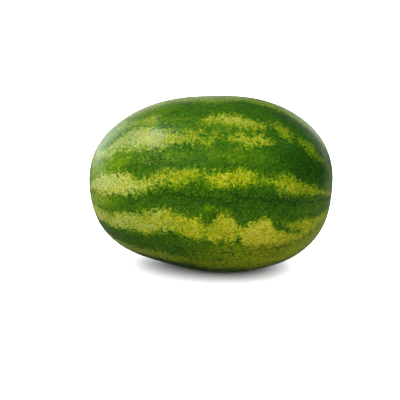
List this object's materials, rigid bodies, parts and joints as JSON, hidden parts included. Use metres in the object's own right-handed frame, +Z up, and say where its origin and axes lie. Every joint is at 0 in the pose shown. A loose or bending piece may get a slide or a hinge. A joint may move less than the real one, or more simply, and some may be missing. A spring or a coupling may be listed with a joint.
{
  "type": "watermelon",
  "caption": "Whole oval watermelon with a smooth waxy rind, dark green with broken pale stripes from end to end, lying on a small flat spot on its underside.",
  "frame": {"origin": "middle of the fruit's bounding box, on the surface that its flat spot rests on", "axes": "+X along the fruit from the stem end to the blossom end, +Z up, -Y towards the side that shows the broken stripes best"},
  "size_m": [0.297, 0.2154, 0.2134],
  "materials": {
    "rind": "satin, waxy, with faint netting and speckle"
  },
  "bodies": {
    "root": {"watermelon": "rind"}
  },
  "joints": []
}
